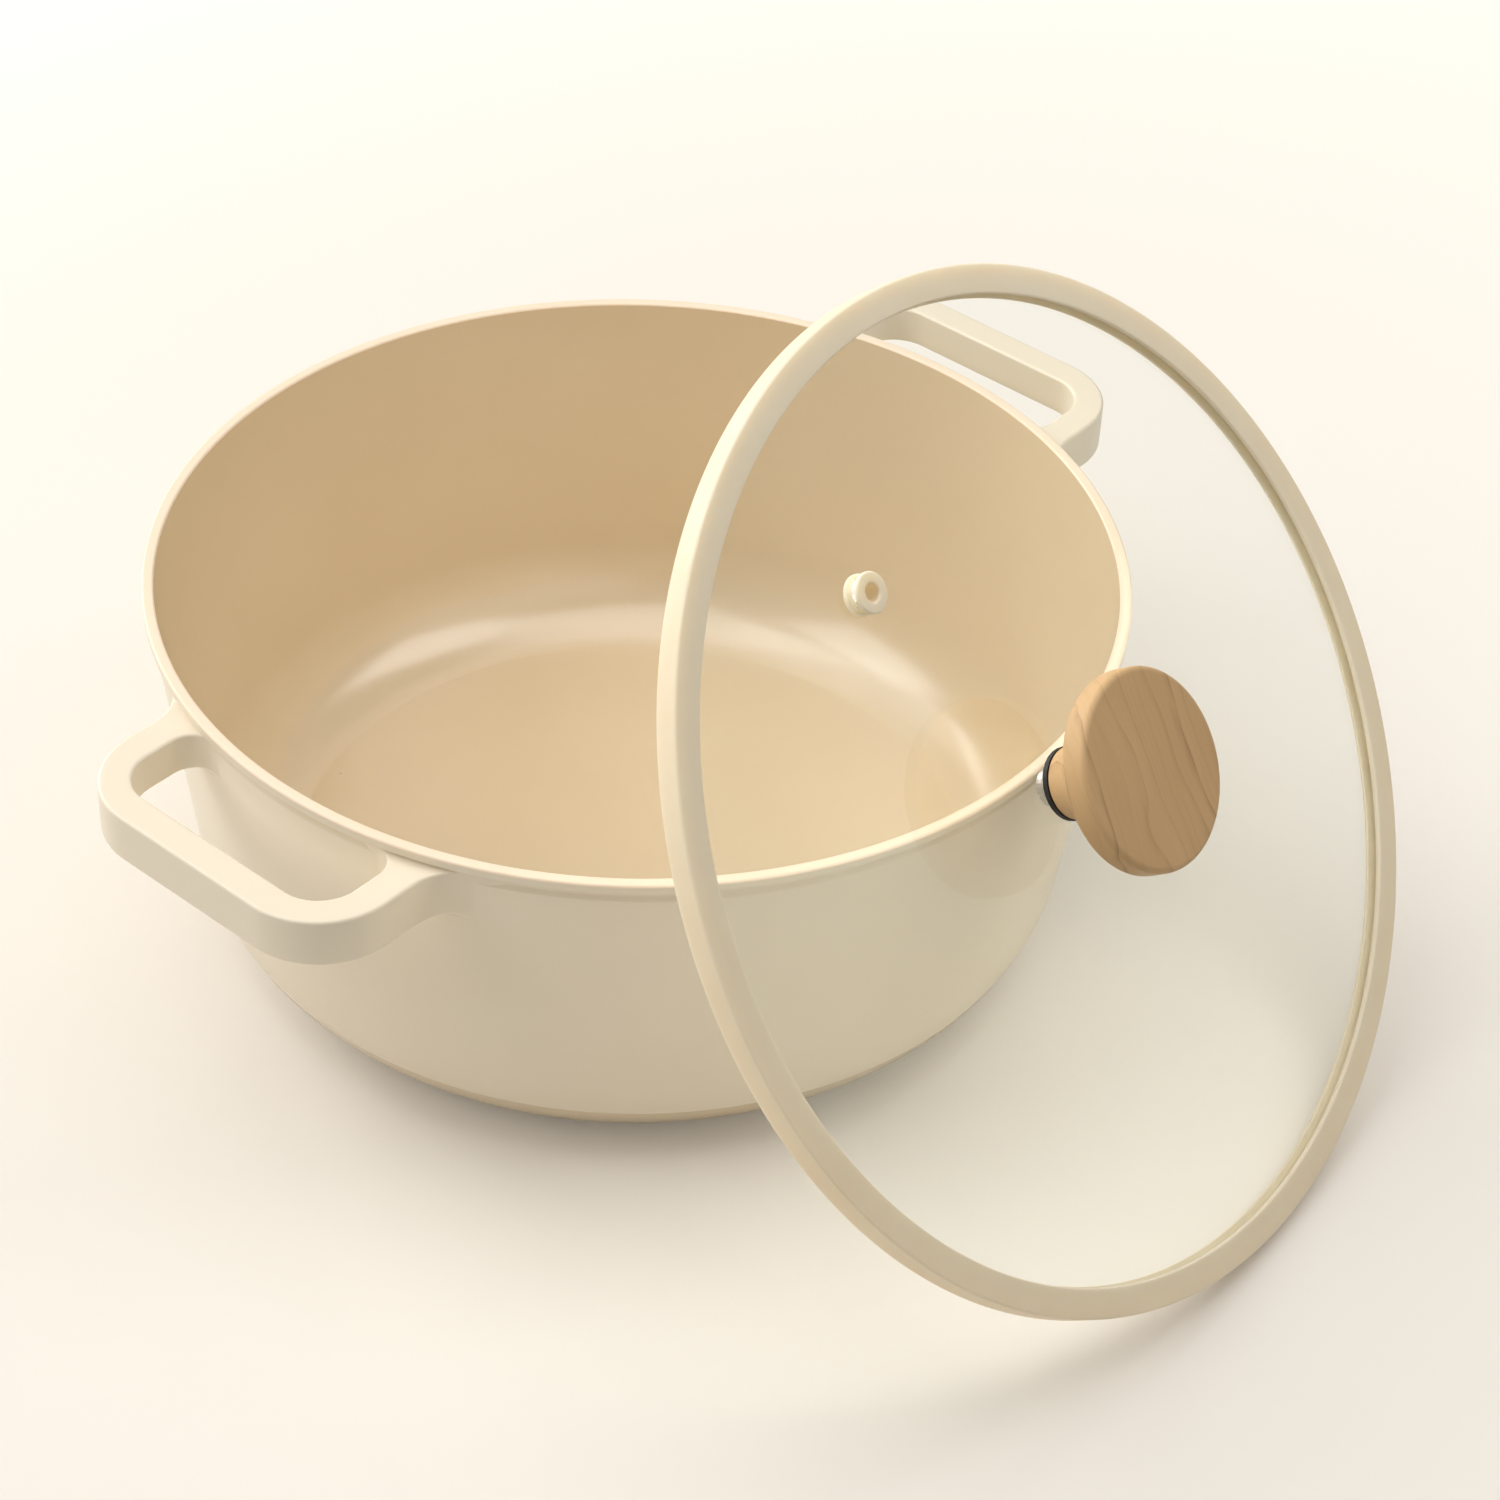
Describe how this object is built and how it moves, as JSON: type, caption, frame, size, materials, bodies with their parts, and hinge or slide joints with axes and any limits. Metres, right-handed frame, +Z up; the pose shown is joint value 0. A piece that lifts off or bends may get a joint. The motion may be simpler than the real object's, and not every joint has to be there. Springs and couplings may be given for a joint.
{
  "type": "saucepan with glass lid",
  "caption": "Round two-handled cast saucepan with straight-sided loop handles and a flat glass lid with a soft band, a vent and a turned wooden knob, leaning on the rim.",
  "frame": {"origin": "centre of the flat base, on the surface the pan stands on", "axes": "+Z up out of the pan; the two handles lie along X; the lid stands beside the pan on the -Y side, leaning on the rim"},
  "size_m": [0.3036, 0.329, 0.203],
  "materials": {
    "enamel": "ivory ceramic coating over cast aluminium, satin; tan ceramic coating inside",
    "base_steel": "fine circular brushing",
    "clear_glass": "clear, polished, faint green edge",
    "silicone": "cream silicone, fine matt",
    "black_rubber": "black, matt",
    "beech": "oiled, fine straight grain",
    "steel": "satin stainless",
    "brass": "turned"
  },
  "bodies": {
    "pan": {"pan_body": "enamel", "induction_plate": "base_steel"},
    "lid": {"lid_glass": "clear_glass", "lid_band": "silicone", "vent_grommet": "silicone", "knob_gasket": "black_rubber", "knob": "beech", "knob_insert": "brass", "glass_seal": "silicone", "flat_washer": "steel", "knob_screw": "steel"}
  },
  "joints": [
    {"name": "lid_lift", "type": "slide", "parent": "pan", "child": "lid", "axis": [0, 0, 1], "range_m": [0, 0.25]}
  ]
}
